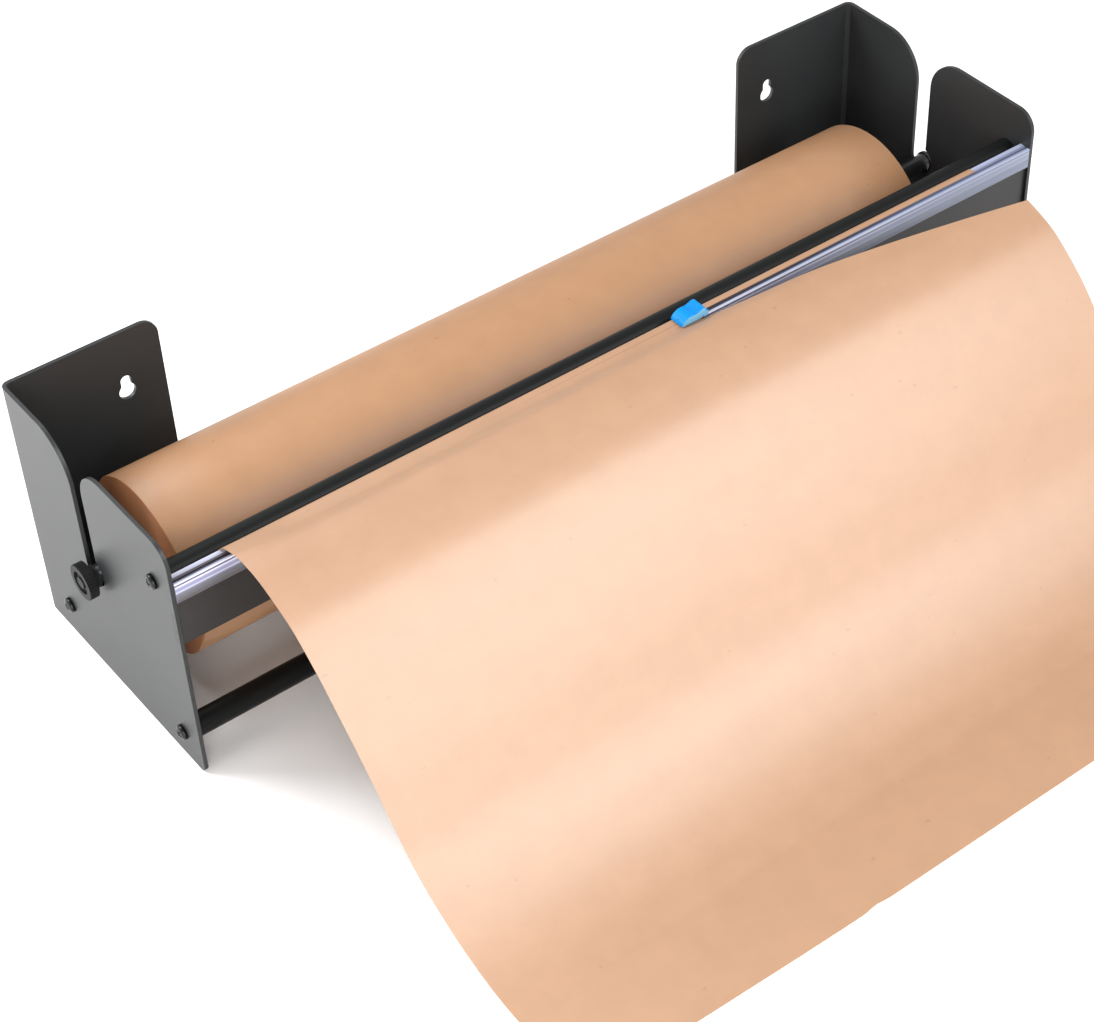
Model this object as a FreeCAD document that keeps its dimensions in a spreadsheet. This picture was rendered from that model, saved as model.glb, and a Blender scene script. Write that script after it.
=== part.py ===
import FreeCAD, Part
import Sketcher
import math
import os

# Gift wrap paper cutter: two folded brackets joined by three tie bars, a recessed panel
# that carries a clear cutting track, a sliding cutter, and a roll of kraft paper that
# hangs on a lift-out shaft.
# Frame: X = 0 midway between the brackets, Y = 0 on the wall plane with the front
# towards -Y, Z = 0 at the keyholes. A depth is measured forwards from the wall plane
# and a height upwards from the table.

Vector = FreeCAD.Vector
doc = FreeCAD.newDocument("gift_wrap_cutter")
sheet = doc.addObject("Spreadsheet::Sheet", "sizes")

driving_sizes = {
    "brackets": {
        "half_width": 263.0,
        "plate_thickness": 2.0,
        "bracket_height": 141.5,
        "bracket_depth": 146.3,
        "flange_width": 82.0,
        "bend_inner_radius": 2.4,
        "flange_corner_radius": 9.0,
        "front_top_radius": 11.0,
        "front_foot_radius": 4.0,
        "slot_rear_depth": 58.9,
        "slot_width": 10.8,
        "mouth_rear_radius": 24.0,
        "mouth_front_radius": 20.5,
        "pocket_radius": 8.0,
        "pocket_height": 72.4,
        "keyhole_inset": 61.0,
        "keyhole_height": 106.5,
        "keyhole_radius": 4.5,
        "keyhole_neck": 5.6,
        "keyhole_rise": 6.5,
        "cut_overrun": 1.0,
        "edge_match": 0.05,
    },
    "bars and their fixings": {
        "bar_radius": 6.0,
        "bar_wall": 1.4,
        "guide_setback": 16.4,
        "guide_height": 113.1,
        "front_bar_setback": 15.9,
        "front_bar_height": 15.6,
        "rear_bar_depth": 26.7,
        "rear_bar_drop": 53.1,
        "plug_length": 14.0,
        "plug_gap": 0.05,
        "screw_radius": 2.0,
        "screw_reach": 12.0,
        "screw_gap": 0.1,
        "plate_hole_gap": 0.2,
        "head_radius": 3.9,
        "head_height": 2.5,
        "head_crown_radius": 1.6,
    },
    "panel, tape and track": {
        "track_setback": 6.9,
        "track_width": 7.0,
        "track_top_height": 121.5,
        "track_head": 4.2,
        "track_wall": 0.9,
        "track_floor": 1.0,
        "track_roof": 1.0,
        "track_low_height": 110.0,
        "track_edge_radius": 0.35,
        "blade_slot_width": 1.1,
        "blade_slot_offset": 4.45,
        "tape_thickness": 0.8,
        "tape_margin": 0.6,
        "panel_thickness": 1.6,
        "panel_low_height": 83.4,
        "tab_low_height": 86.0,
        "tab_length": 17.0,
        "tab_gap": 0.1,
        "end_gap": 0.3,
    },
    "shaft, knob and roll": {
        "shaft_radius": 5.0,
        "seat_gap": 0.05,
        "shaft_end_gap": 0.4,
        "shaft_head_radius": 5.9,
        "shaft_head_length": 2.1,
        "shaft_edge_radius": 0.5,
        "stud_radius": 2.85,
        "stud_length": 5.5,
        "thread_gap": 0.05,
        "hub_radius": 5.8,
        "hub_length": 3.0,
        "knob_radius": 9.3,
        "knob_length": 5.0,
        "knob_edge_radius": 0.4,
        "knurl_deep": 0.4,
        "knurl_width": 1.2,
        "knurl_count": 40,
        "face_ring_radius": 6.0,
        "face_boss_radius": 3.0,
        "face_ring_deep": 1.2,
        "insert_radius": 4.1,
        "insert_length": 6.0,
        "core_bore_radius": 15.0,
        "core_wall": 2.0,
        "wrap_gap": 0.1,
        "roll_radius": 46.9,
        "roll_left_gap": 24.4,
        "roll_right_gap": 40.4,
    },
    "web and sheet": {
        "paper_thickness": 0.5,
        "web_drift": 2.8,
        "web_gap": 0.35,
        "lay_gap": 0.1,
        "lip_gap": 0.25,
        "lip_bend_radius": 1.2,
        "slit_gap": 0.75,
        "crest_reach": 19.15,
        "crest_height": 128.4,
        "landing_reach": 208.55,
        "sheet_reach": 259.15,
        "cut_corner_reach": 4.65,
        "cut_right_reach": 36.15,
    },
    "slider": {
        "slider_left": 22.5,
        "slider_length": 14.6,
        "slider_width": 9.0,
        "slider_low_height": 122.6,
        "slider_rise": 5.1,
        "slider_wall": 4.0,
        "rib_radius": 0.35,
        "rib_count": 6,
        "block_start": 1.7,
        "block_length": 11.4,
        "block_width": 3.9,
        "block_low_height": 122.7,
        "hook_thickness": 1.3,
        "hook_length": 3.0,
        "hook_reach": 1.6,
        "hook_radius": 0.9,
        "keel_thickness": 0.7,
        "keel_start": 4.6,
        "keel_length": 8.0,
        "keel_top_height": 124.4,
        "keel_gap": 0.08,
        "foot_gap": 0.15,
        "blade_thickness": 0.4,
        "blade_length": 4.0,
        "blade_slant": 2.0,
    },
}

row = 0
for group, entries in driving_sizes.items():
    for name, number in entries.items():
        row += 1
        sheet.set("A%d" % row, name)
        sheet.set("B%d" % row, str(number))
        sheet.set("C%d" % row, group)
        sheet.setAlias("B%d" % row, name)
doc.recompute()

parts = []


class Length:
    """A length: its number now, and the formula that ties it to the sheet."""

    def __init__(self, formula, number):
        self.formula = formula
        self.number = number

    def __add__(self, other):
        other = length_of(other)
        return Length("(%s + %s)" % (self.formula, other.formula), self.number + other.number)

    def __sub__(self, other):
        other = length_of(other)
        return Length("(%s - %s)" % (self.formula, other.formula), self.number - other.number)

    def __mul__(self, factor):
        factor = length_of(factor)
        return Length("(%s * %s)" % (self.formula, factor.formula), self.number * factor.number)

    def __truediv__(self, factor):
        factor = length_of(factor)
        return Length("(%s / %s)" % (self.formula, factor.formula), self.number / factor.number)

    def __neg__(self):
        return Length("(0 - %s)" % self.formula, -self.number)

    __rmul__ = __mul__


def length_of(value):
    if isinstance(value, Length):
        return value
    if value < 0:
        return Length("(0 - %s)" % abs(value), float(value))
    return Length(str(value), float(value))


def root(square):
    return Length("sqrt(%s)" % square.formula, math.sqrt(square.number))


def size(name):
    return Length("sizes." + name, float(sheet.get(name)))


zero = length_of(0)
overrun = size("cut_overrun")

# Sizes that pieces share, worked out once from the driving ones.
inner_x = size("half_width") - size("plate_thickness")
bend_outer = size("bend_inner_radius") + size("plate_thickness")
pocket_depth = size("slot_rear_depth") + size("pocket_radius")
shaft_height = size("pocket_height") - size("pocket_radius") + size("seat_gap") + size("shaft_radius")
roll_height = shaft_height - size("core_bore_radius") + size("shaft_radius") + size("seat_gap")
core_radius = size("core_bore_radius") + size("core_wall")
guide_depth = size("bracket_depth") - size("guide_setback")
front_bar_depth = size("bracket_depth") - size("front_bar_setback")
rear_bar_height = size("pocket_height") - size("rear_bar_drop")
track_rear = size("bracket_depth") - size("track_setback")
track_front = track_rear + size("track_width")
blade_slot = track_rear + size("blade_slot_offset")
track_flange_back = track_front - size("track_wall")
track_head_low = size("track_top_height") - size("track_head")
panel_front = track_flange_back - size("tape_thickness")
roll_left = size("roll_left_gap") - inner_x
paper_width = inner_x - size("roll_right_gap") - roll_left
paper_left = roll_left + size("web_drift")
paper_lay = size("track_top_height") + size("lay_gap") + size("paper_thickness") / 2
channel_floor = track_head_low + size("track_floor")
knob_start = size("half_width") + size("shaft_end_gap") + size("seat_gap")


def bind(thing, **lengths):
    for prop, value in lengths.items():
        thing.setExpression(prop.replace("__", "."), length_of(value).formula)


def place(thing, x, depth, height):
    """Put a piece at x, at a depth in front of the wall and a height over the table."""
    bind(thing, Placement__Base__x=x, Placement__Base__y=-length_of(depth),
         Placement__Base__z=length_of(height) - size("keyhole_height"))


def new_body(name, x, depth, height):
    body = doc.addObject("PartDesign::Body", name)
    body.Label = name
    place(body, x, depth, height)
    return body


def new_sketch(body, name, plane):
    """A sketch on one of the body's own origin planes: XY, XZ or YZ."""
    drawing = body.newObject("Sketcher::SketchObject", name)
    for feature in body.Origin.OriginFeatures:
        if feature.Role == plane + "_Plane":
            drawing.AttachmentSupport = (feature, [""])
    drawing.MapMode = "FlatFace"
    return drawing


def pin(drawing, side, end, u, v):
    """Dimension one end of a side from the sketch's origin."""
    for kind, value in (("DistanceX", u), ("DistanceY", v)):
        number = drawing.addConstraint(
            Sketcher.Constraint(kind, -1, 1, side, end, value.number))
        drawing.setExpression("Constraints[%d]" % number, value.formula)


def add_radius(drawing, side, radius):
    number = drawing.addConstraint(Sketcher.Constraint("Radius", side, radius.number))
    drawing.setExpression("Constraints[%d]" % number, radius.formula)


def arc_between(start, end, radius, turn, large):
    """An arc from start to end that turns left (1) or right (-1), and its two ends."""
    chord = end - start
    middle = (start + end) / 2
    rise = math.sqrt(max(radius ** 2 - (chord.Length / 2) ** 2, 0))
    left = Vector(-chord.y, chord.x, 0).normalize()
    centre = middle + left * (rise * turn * (-1 if large else 1))
    first = math.atan2(start.y - centre.y, start.x - centre.x)
    last = math.atan2(end.y - centre.y, end.x - centre.x)
    circle = Part.Circle(centre, Vector(0, 0, 1), radius)
    if turn > 0:
        return Part.ArcOfCircle(circle, first, last), 1, 2
    return Part.ArcOfCircle(circle, last, first), 2, 1


def draw(drawing, corners, arcs=None):
    """A closed outline through corners of (u, v).

    arcs gives (radius, turn, large) for each side, by its number, that is round.
    """
    arcs = arcs or {}
    ends = []
    for index, (u, v) in enumerate(corners):
        next_u, next_v = corners[(index + 1) % len(corners)]
        start = Vector(u.number, v.number, 0)
        end = Vector(next_u.number, next_v.number, 0)
        if index in arcs:
            radius, turn, large = arcs[index]
            curve, head, tail = arc_between(start, end, radius.number, turn, large)
        else:
            curve, head, tail = Part.LineSegment(start, end), 1, 2
        ends.append((drawing.addGeometry(curve, False), head, tail))
    for index, (side, head, tail) in enumerate(ends):
        next_side, next_head, next_tail = ends[(index + 1) % len(ends)]
        drawing.addConstraint(
            Sketcher.Constraint("Coincident", side, tail, next_side, next_head))
    for index, (side, head, tail) in enumerate(ends):
        pin(drawing, side, head, *corners[index])
        if index in arcs:
            add_radius(drawing, side, arcs[index][0])


def toward(start, end):
    """The direction of a level or upright side, as -1, 0 or 1 in u and in v."""
    along = end[0].number - start[0].number
    up = end[1].number - start[1].number
    if abs(along) > abs(up):
        return (1 if along > 0 else -1, 0)
    return (0, 1 if up > 0 else -1)


def draw_rounded(drawing, corners):
    """A closed outline of level and upright sides; a third value rounds a corner."""
    points = []
    arcs = {}
    for index, corner in enumerate(corners):
        if len(corner) == 2:
            points.append(corner)
            continue
        u, v, radius = corner
        arrive = toward(corners[index - 1], corner)
        leave = toward(corner, corners[(index + 1) % len(corners)])
        turn = arrive[0] * leave[1] - arrive[1] * leave[0]
        arcs[len(points)] = (radius, turn, False)
        points.append((u - radius * arrive[0], v - radius * arrive[1]))
        points.append((u + radius * leave[0], v + radius * leave[1]))
    draw(drawing, points, arcs)


def draw_circle(drawing, u, v, radius):
    circle = Part.Circle(Vector(u.number, v.number, 0), Vector(0, 0, 1), radius.number)
    side = drawing.addGeometry(circle, False)
    pin(drawing, side, 3, u, v)
    add_radius(drawing, side, radius)


def pad(body, drawing, length, both_ways=False):
    feature = body.newObject("PartDesign::Pad", drawing.Name + "_pad")
    feature.Profile = drawing
    feature.Midplane = both_ways
    bind(feature, Length=length)
    drawing.Visibility = False
    return feature


def pocket(body, drawing, length):
    """Cut a sketch both ways from its plane, over the whole of the length."""
    feature = body.newObject("PartDesign::Pocket", drawing.Name + "_pocket")
    feature.Profile = drawing
    feature.Midplane = True
    bind(feature, Length=length)
    drawing.Visibility = False
    return feature


def revolve(body, drawing):
    """Turn a sketch about its own level axis."""
    feature = body.newObject("PartDesign::Revolution", drawing.Name + "_turned")
    feature.Profile = drawing
    feature.ReferenceAxis = (drawing, ["H_Axis"])
    feature.Angle = 360
    drawing.Visibility = False
    return feature


def edges_where(shape, test):
    """Names of the edges whose two ends both pass a test."""
    names = []
    for index, edge in enumerate(shape.Edges):
        ends = [vertex.Point for vertex in edge.Vertexes]
        if len(ends) == 2 and all(test(point) for point in ends):
            names.append("Edge%d" % (index + 1))
    return names


def fillet(body, base, names, radius):
    feature = body.newObject("PartDesign::Fillet", base.Name + "_fillet")
    feature.Base = (base, names)
    bind(feature, Radius=radius)
    return feature


def near(first, second):
    return abs(first - second) < size("edge_match").number


def keep(name, piece):
    """Add a finished piece to the pieces that are written out."""
    piece.Label = name
    parts.append((name, piece))


bar_places = [
    ("guide", "guide_rod", guide_depth, size("guide_height")),
    ("front", "lower_front_bar", front_bar_depth, size("front_bar_height")),
    ("rear", "lower_rear_bar", size("rear_bar_depth"), rear_bar_height),
]


def folded_plate(body, side):
    """The L of side plate and wall flange, seen from above, drawn up to full height."""
    drawing = new_sketch(body, body.Name + "_fold", "XY")
    outer = size("half_width")
    flange_end = size("half_width") - size("flange_width")
    front = -size("bracket_depth")
    back = -size("plate_thickness")
    draw_rounded(drawing, [
        (outer * side, zero, bend_outer),
        (outer * side, front),
        (inner_x * side, front),
        (inner_x * side, back, size("bend_inner_radius")),
        (flange_end * side, back),
        (flange_end * side, zero),
    ])
    return pad(body, drawing, size("bracket_height"))


def corner_rounds(body, base, side):
    """Round the side plate's two front corners and the flange's top inner corner."""
    front = -size("bracket_depth").number
    top = size("bracket_height").number
    flange_end = (size("half_width") - size("flange_width")).number * side
    names = edges_where(base.Shape, lambda p: near(p.y, front) and near(p.z, top))
    base = fillet(body, base, names, size("front_top_radius"))
    doc.recompute()
    names = edges_where(base.Shape, lambda p: near(p.y, front) and near(p.z, 0))
    base = fillet(body, base, names, size("front_foot_radius"))
    doc.recompute()
    names = edges_where(base.Shape, lambda p: near(p.x, flange_end) and near(p.z, top))
    fillet(body, base, names, size("flange_corner_radius"))
    doc.recompute()


def shaft_slot(body):
    """The open slot with its flared mouth and the round pocket that seats the shaft."""
    drawing = new_sketch(body, body.Name + "_slot", "YZ")
    top = size("bracket_height")
    above = top + overrun
    rear = size("slot_rear_depth")
    front = rear + size("slot_width")
    past_centre = front - pocket_depth
    pocket_r = size("pocket_radius")
    pocket_exit = size("pocket_height") + root(pocket_r * pocket_r - past_centre * past_centre)
    rear_r = size("mouth_rear_radius")
    front_r = size("mouth_front_radius")
    draw(drawing, [
        (rear_r - rear, above), (rear_r - rear, top), (-rear, top - rear_r),
        (-rear, size("pocket_height")), (-front, pocket_exit), (-front, top - front_r),
        (-front - front_r, top), (-front - front_r, above),
    ], {1: (rear_r, 1, False), 3: (pocket_r, -1, True), 5: (front_r, 1, False)})
    return drawing


def keyhole(body, side):
    """A round hole for a screw's head under a narrower round-topped neck."""
    drawing = new_sketch(body, body.Name + "_keyhole", "XZ")
    middle = (size("half_width") - size("keyhole_inset")) * side
    neck = size("keyhole_neck") / 2
    radius = size("keyhole_radius")
    level = size("keyhole_height")
    shoulder = level + root(radius * radius - neck * neck)
    crown = level + size("keyhole_rise")
    draw(drawing, [
        (middle - neck, shoulder), (middle + neck, shoulder),
        (middle + neck, crown), (middle, crown + neck), (middle - neck, crown),
    ], {0: (radius, 1, True), 2: (neck, 1, False), 3: (neck, 1, False)})
    return drawing


def fixing_holes(body):
    """Holes for the three bars' screws, and the slot for the panel's tab."""
    drawing = new_sketch(body, body.Name + "_fixings", "YZ")
    for short, name, depth, height in bar_places:
        draw_circle(drawing, -depth, height, size("screw_radius") + size("plate_hole_gap"))
    gap = size("tab_gap")
    rear = -(panel_front - size("panel_thickness") - gap)
    front = -(panel_front + gap)
    low = size("tab_low_height") - gap
    high = size("tab_low_height") + size("tab_length") + gap
    draw(drawing, [(front, low), (rear, low), (rear, high), (front, high)])
    return drawing


def bracket(name, side):
    """One bracket, folded from a single steel blank."""
    body = new_body(name, zero, zero, zero)
    base = folded_plate(body, side)
    doc.recompute()
    corner_rounds(body, base, side)
    whole_width = (size("half_width") + overrun) * 2
    pocket(body, shaft_slot(body), whole_width)
    doc.recompute()
    pocket(body, fixing_holes(body), whole_width)
    doc.recompute()
    pocket(body, keyhole(body, side), (size("plate_thickness") + overrun) * 2)
    doc.recompute()
    keep(name, body)


def tube(name, outer, bore, length, x, depth, height):
    """A round tube that runs towards +X from x."""
    body = new_body(name, x, depth, height)
    drawing = new_sketch(body, name + "_ring", "YZ")
    draw_circle(drawing, zero, zero, outer)
    draw_circle(drawing, zero, zero, bore)
    pad(body, drawing, length)
    keep(name, body)


def mirrored(side, start, length):
    """Where a piece starts in x: on the right at start, on the left at its far end."""
    return start if side > 0 else -(start + length)


def bar_plug(name, side, depth, height):
    """The threaded plug pressed into a bar's end."""
    start = inner_x - size("plug_length")
    tube(name, size("bar_radius") - size("bar_wall") - size("plug_gap"),
         size("screw_radius") + size("screw_gap"), size("plug_length"),
         mirrored(side, start, size("plug_length")), depth, height)


def bar_screw(name, side, depth, height):
    """A pan head screw through the plate into the bar's plug."""
    body = new_body(name, size("half_width") * side, depth, height)
    drawing = new_sketch(body, name + "_outline", "XY")
    tip = -(size("plate_thickness") + size("screw_reach"))
    draw_rounded(drawing, [
        (tip * side, zero), (tip * side, size("screw_radius")),
        (zero, size("screw_radius")), (zero, size("head_radius")),
        (size("head_height") * side, size("head_radius"), size("head_crown_radius")),
        (size("head_height") * side, zero),
    ])
    revolve(body, drawing)
    keep(name, body)


def front_panel():
    """The recessed panel: its ends step in to tabs that plug into the side plates."""
    body = new_body("front_panel", zero, panel_front - size("panel_thickness"), zero)
    drawing = new_sketch(body, "panel_outline", "XZ")
    outer = size("half_width")
    low = size("panel_low_height")
    top = track_head_low
    tab_low = size("tab_low_height")
    tab_top = tab_low + size("tab_length")
    draw(drawing, [
        (-inner_x, low), (inner_x, low), (inner_x, tab_low), (outer, tab_low),
        (outer, tab_top), (inner_x, tab_top), (inner_x, top), (-inner_x, top),
        (-inner_x, tab_top), (-outer, tab_top), (-outer, tab_low), (-inner_x, tab_low),
    ])
    pad(body, drawing, size("panel_thickness"))
    keep("front_panel", body)


def track_tape():
    """The double-sided tape between the panel and the track's flange."""
    low = size("track_low_height") + size("tape_margin")
    tape = box("track_tape", (inner_x - size("end_gap")) * 2, size("tape_thickness"),
               track_head_low - size("tape_margin") - low, size("end_gap") - inner_x,
               track_flange_back, low)
    keep("track_tape", tape)


def cutter_track():
    """The clear extrusion: a slotted channel, and a flange down the panel's front."""
    length = (inner_x - size("end_gap")) * 2
    body = new_body("cutter_track", size("end_gap") - inner_x, zero, zero)
    drawing = new_sketch(body, "track_section", "YZ")
    rear = -track_rear
    front = -track_front
    wall = size("track_wall")
    top = size("track_top_height")
    roof = top - size("track_roof")
    edge = size("track_edge_radius")
    slot_rear = size("blade_slot_width") / 2 - blade_slot
    slot_front = -size("blade_slot_width") / 2 - blade_slot
    draw_rounded(drawing, [
        (rear, track_head_low, edge), (rear, top, edge), (slot_rear, top), (slot_rear, roof),
        (rear - wall, roof), (rear - wall, channel_floor), (front + wall, channel_floor),
        (front + wall, roof), (slot_front, roof), (slot_front, top), (front, top, edge),
        (front, size("track_low_height"), edge), (front + wall, size("track_low_height")),
        (front + wall, track_head_low),
    ])
    pad(body, drawing, length)
    keep("cutter_track", body)


def roll_shaft():
    """The shaft that drops into the slots: a head at the right, a stud at the left."""
    body = new_body("roll_shaft", zero, pocket_depth, shaft_height)
    drawing = new_sketch(body, "shaft_outline", "XY")
    shoulder = size("half_width") + size("shaft_end_gap")
    head_end = shoulder + size("shaft_head_length")
    stud_end = -shoulder - size("stud_length")
    draw_rounded(drawing, [
        (stud_end, zero), (stud_end, size("stud_radius")),
        (-shoulder, size("stud_radius")), (-shoulder, size("shaft_radius")),
        (shoulder, size("shaft_radius")), (shoulder, size("shaft_head_radius")),
        (head_end, size("shaft_head_radius"), size("shaft_edge_radius")), (head_end, zero),
    ])
    revolve(body, drawing)
    keep("roll_shaft", body)


def left_knob():
    """A turned knob with a hub, a ringed face and a bore for its insert, then knurled."""
    body = new_body("left_knob", -knob_start, pocket_depth, shaft_height)
    drawing = new_sketch(body, "knob_outline", "XY")
    step = -size("hub_length")
    face = -(size("hub_length") + size("knob_length"))
    edge = size("knob_edge_radius")
    ring_floor = face + size("face_ring_deep")
    bore = size("insert_radius") + size("plug_gap")
    bore_end = -(size("insert_length") + size("plug_gap"))
    draw_rounded(drawing, [
        (bore_end, zero), (bore_end, bore), (zero, bore), (zero, size("hub_radius")),
        (step, size("hub_radius")), (step, size("knob_radius"), edge),
        (face, size("knob_radius"), edge), (face, size("face_ring_radius")),
        (ring_floor, size("face_ring_radius")), (ring_floor, size("face_boss_radius")),
        (face, size("face_boss_radius")), (face, zero),
    ])
    revolve(body, drawing)
    doc.recompute()
    groove = new_sketch(body, "knurl_groove", "YZ")
    bottom = size("knob_radius") - size("knurl_deep")
    outside = size("knob_radius") + size("knurl_deep")
    draw(groove, [
        (zero, bottom), (size("knurl_width"), outside), (-size("knurl_width"), outside)])
    cut = pocket(body, groove, (size("hub_length") + size("knob_length") + overrun) * 2)
    doc.recompute()
    pattern = body.newObject("PartDesign::PolarPattern", "knurl")
    pattern.Originals = [cut]
    for feature in body.Origin.OriginFeatures:
        if feature.Role == "X_Axis":
            pattern.Axis = (feature, [""])
    pattern.Angle = 360
    bind(pattern, Occurrences=size("knurl_count"))
    body.Tip = pattern
    keep("left_knob", body)


def knob_insert():
    """The threaded brass insert in the knob, on the shaft's stud."""
    tube("left_knob_insert", size("insert_radius"), size("stud_radius") + size("thread_gap"),
         size("insert_length"), -(knob_start + size("insert_length")), pocket_depth,
         shaft_height)


def at(depth, height):
    """A point in the middle plane from numbers for depth and height."""
    return Vector(0, -depth, height - size("keyhole_height").number)


def beside(points, distance):
    """Move a path sideways in the YZ plane, mitred at each bend."""
    moved = []
    last = len(points) - 1
    for index, point in enumerate(points):
        arrive = point - points[index - 1] if index > 0 else points[1] - point
        leave = points[index + 1] - point if index < last else arrive
        arrive = Vector(arrive).normalize()
        leave = Vector(leave).normalize()
        between = (arrive + leave).normalize()
        normal = Vector(0, -between.z, between.y)
        moved.append(point + normal * (distance / between.dot(leave)))
    return moved


def bent_path(points, bend, radius):
    """Straight lines through points, with the one at index bend rounded."""
    corner = points[bend]
    arrive = (points[bend - 1] - corner).normalize()
    leave = (points[bend + 1] - corner).normalize()
    half = arrive.getAngle(leave) / 2
    back = radius / math.tan(half)
    inward = (arrive + leave).normalize()
    middle = corner + inward * (radius / math.sin(half) - radius)
    path = points[:bend] + [corner + arrive * back]
    onward = [corner + leave * back] + points[bend + 1:]
    edges = [Part.makeLine(path[i], path[i + 1]) for i in range(len(path) - 1)]
    edges.append(Part.Arc(path[-1], middle, onward[0]).toShape())
    edges += [Part.makeLine(onward[i], onward[i + 1]) for i in range(len(onward) - 1)]
    return edges, path[0], onward[-1]


def strip(name, near_side, far_side):
    """A face between two paths, kept as the profile of a swept piece."""
    near_edges, near_start, near_end = near_side
    far_edges, far_start, far_end = far_side
    edges = near_edges + far_edges
    edges += [Part.makeLine(near_start, far_start), Part.makeLine(near_end, far_end)]
    profile = doc.addObject("Part::Feature", name)
    profile.Shape = Part.Face(Part.Wire(Part.__sortEdges__(edges)))
    profile.Placement = FreeCAD.Placement()
    return profile


def sweep(name, profile, direction, length):
    swept = doc.addObject("Part::Extrusion", name)
    swept.Base = profile
    swept.DirMode = "Custom"
    swept.Dir = direction
    swept.Solid = True
    bind(swept, LengthFwd=length)
    return swept


def web_path():
    """Middle of the web: off the roll, past the guide rod, over the track's rear lip."""
    half = size("paper_thickness").number / 2
    roll = at(pocket_depth.number, roll_height.number)
    guide = at(guide_depth.number, size("guide_height").number)
    roll_reach = size("roll_radius").number + size("web_gap").number + half
    guide_reach = size("bar_radius").number + size("web_gap").number + half
    apart = guide - roll
    bearing = math.atan2(apart.z, -apart.y)
    lean = bearing - math.acos((roll_reach - guide_reach) / apart.Length)
    normal = Vector(0, -math.cos(lean), math.sin(lean))
    lip = track_rear.number - size("lip_gap").number - half
    end = blade_slot.number - size("slit_gap").number
    return [roll + normal * roll_reach, guide + normal * guide_reach,
            at(lip, paper_lay.number), at(end, paper_lay.number)]


def paper_web():
    """The paper between the roll and the blade's slot."""
    half = size("paper_thickness").number / 2
    bend = size("lip_bend_radius").number
    path = web_path()
    outside = bent_path(beside(path, -half), 2, bend + half)
    inside = bent_path(beside(path, half), 2, bend - half)
    profile = strip("web_profile", outside, inside)
    swept = sweep("paper_web", profile, Vector(1, 0, 0), paper_width)
    bind(profile, Placement__Base__x=paper_left)
    keep("paper_web", swept)


# The sheet's middle line, as shares of the way in depth and in height: first up from the
# slot to the crest, then down from the crest to where the sheet meets the table.
rise_shares = [(0.0, 0.0), (0.12, 0.008), (0.25, 0.07), (0.48, 0.46), (0.73, 0.88)]
fall_shares = [
    (0.0, 1.0), (0.05, 0.992), (0.105, 0.968), (0.177, 0.922), (0.234, 0.862), (0.3, 0.776),
    (0.354, 0.692), (0.41, 0.604), (0.475, 0.494), (0.539, 0.377), (0.6, 0.272),
    (0.665, 0.187), (0.74, 0.118), (0.82, 0.062), (0.91, 0.02), (1.0, 0.0),
]


def sheet_path():
    """Middle of the draped sheet, from the slot to where it meets the table."""
    half = size("paper_thickness").number / 2
    start = blade_slot.number + size("slit_gap").number
    crest = (blade_slot + size("crest_reach")).number
    landing = (blade_slot + size("landing_reach")).number
    low = paper_lay.number
    high = size("crest_height").number
    points = []
    for along, up in rise_shares:
        points.append(at(start + (crest - start) * along, low + (high - low) * up))
    for along, up in fall_shares:
        points.append(at(crest + (landing - crest) * along, half + (high - half) * up))
    return points


def draped_side(points, end_depth):
    """A smooth curve through points, then a straight run out along the table."""
    curve = Part.BSplineCurve()
    curve.interpolate(points)
    end = Vector(0, -end_depth, points[-1].z)
    return [curve.toShape(), Part.makeLine(points[-1], end)], points[0], end


def flat_last(points, height):
    """Set the last point of a path exactly at a height over the table."""
    return points[:-1] + [at(-points[-1].y, height)]


def paper_sheet():
    """The sheet over the track and down to the table, cut through as far as the slider."""
    thick = size("paper_thickness").number
    path = sheet_path()
    end_depth = (blade_slot + size("sheet_reach")).number
    upper = flat_last(beside(path, -thick / 2), thick)
    lower = flat_last(beside(path, thick / 2), 0)
    profile = strip("sheet_profile", draped_side(upper, end_depth),
                    draped_side(lower, end_depth))
    bind(profile, Placement__Base__x=paper_left)
    whole = sweep("sheet_whole", profile, Vector(1, 0, 0), paper_width)
    plan = doc.addObject("Sketcher::SketchObject", "cut_plan")
    start_x = size("slider_left") + size("keel_start")
    corner_x = start_x + size("keel_length")
    right = paper_left + paper_width
    rear = -(blade_slot - overrun)
    start = -(blade_slot + size("slit_gap"))
    corner = -(blade_slot + size("cut_corner_reach"))
    far = -(blade_slot + size("cut_right_reach"))
    draw(plan, [
        (start_x, rear), (start_x, start), (corner_x, corner), (right, far),
        (right + overrun, far), (right + overrun, rear),
    ])
    bind(plan, Placement__Base__z=-size("keyhole_height"))
    waste = sweep("cut_waste", plan, Vector(0, 0, 1), size("crest_height") + overrun)
    trimmed = doc.addObject("Part::Cut", "paper_sheet")
    trimmed.Base = whole
    trimmed.Tool = waste
    keep("paper_sheet", trimmed)


# The slider's back, from its low left nose to its high right end, as shares of its
# length and of its rise. The grip ribs stand on the last part of it.
slider_back_shares = [
    (0.0, 0.0), (0.06, 0.36), (0.2, 0.66), (0.34, 0.79), (0.52, 0.735),
    (0.63, 0.755), (0.77, 0.89), (0.89, 1.0), (1.0, 0.97),
]
rib_first_share = 0.5
rib_last_share = 0.9


def slider_curve(drop):
    """The slider's wave in the XZ plane, lowered by drop."""
    left = size("slider_left").number
    low = size("slider_low_height").number - size("keyhole_height").number - drop
    points = []
    for along, up in slider_back_shares:
        points.append(Vector(left + size("slider_length").number * along, 0,
                             low + size("slider_rise").number * up))
    curve = Part.BSplineCurve()
    curve.interpolate(points)
    return curve


def box(name, length, width, height, x, depth, low):
    """A block from x, whose front is at a depth and whose underside is at a height."""
    piece = doc.addObject("Part::Box", name)
    bind(piece, Length=length, Width=width, Height=height)
    place(piece, x, depth, low)
    return piece


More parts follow.
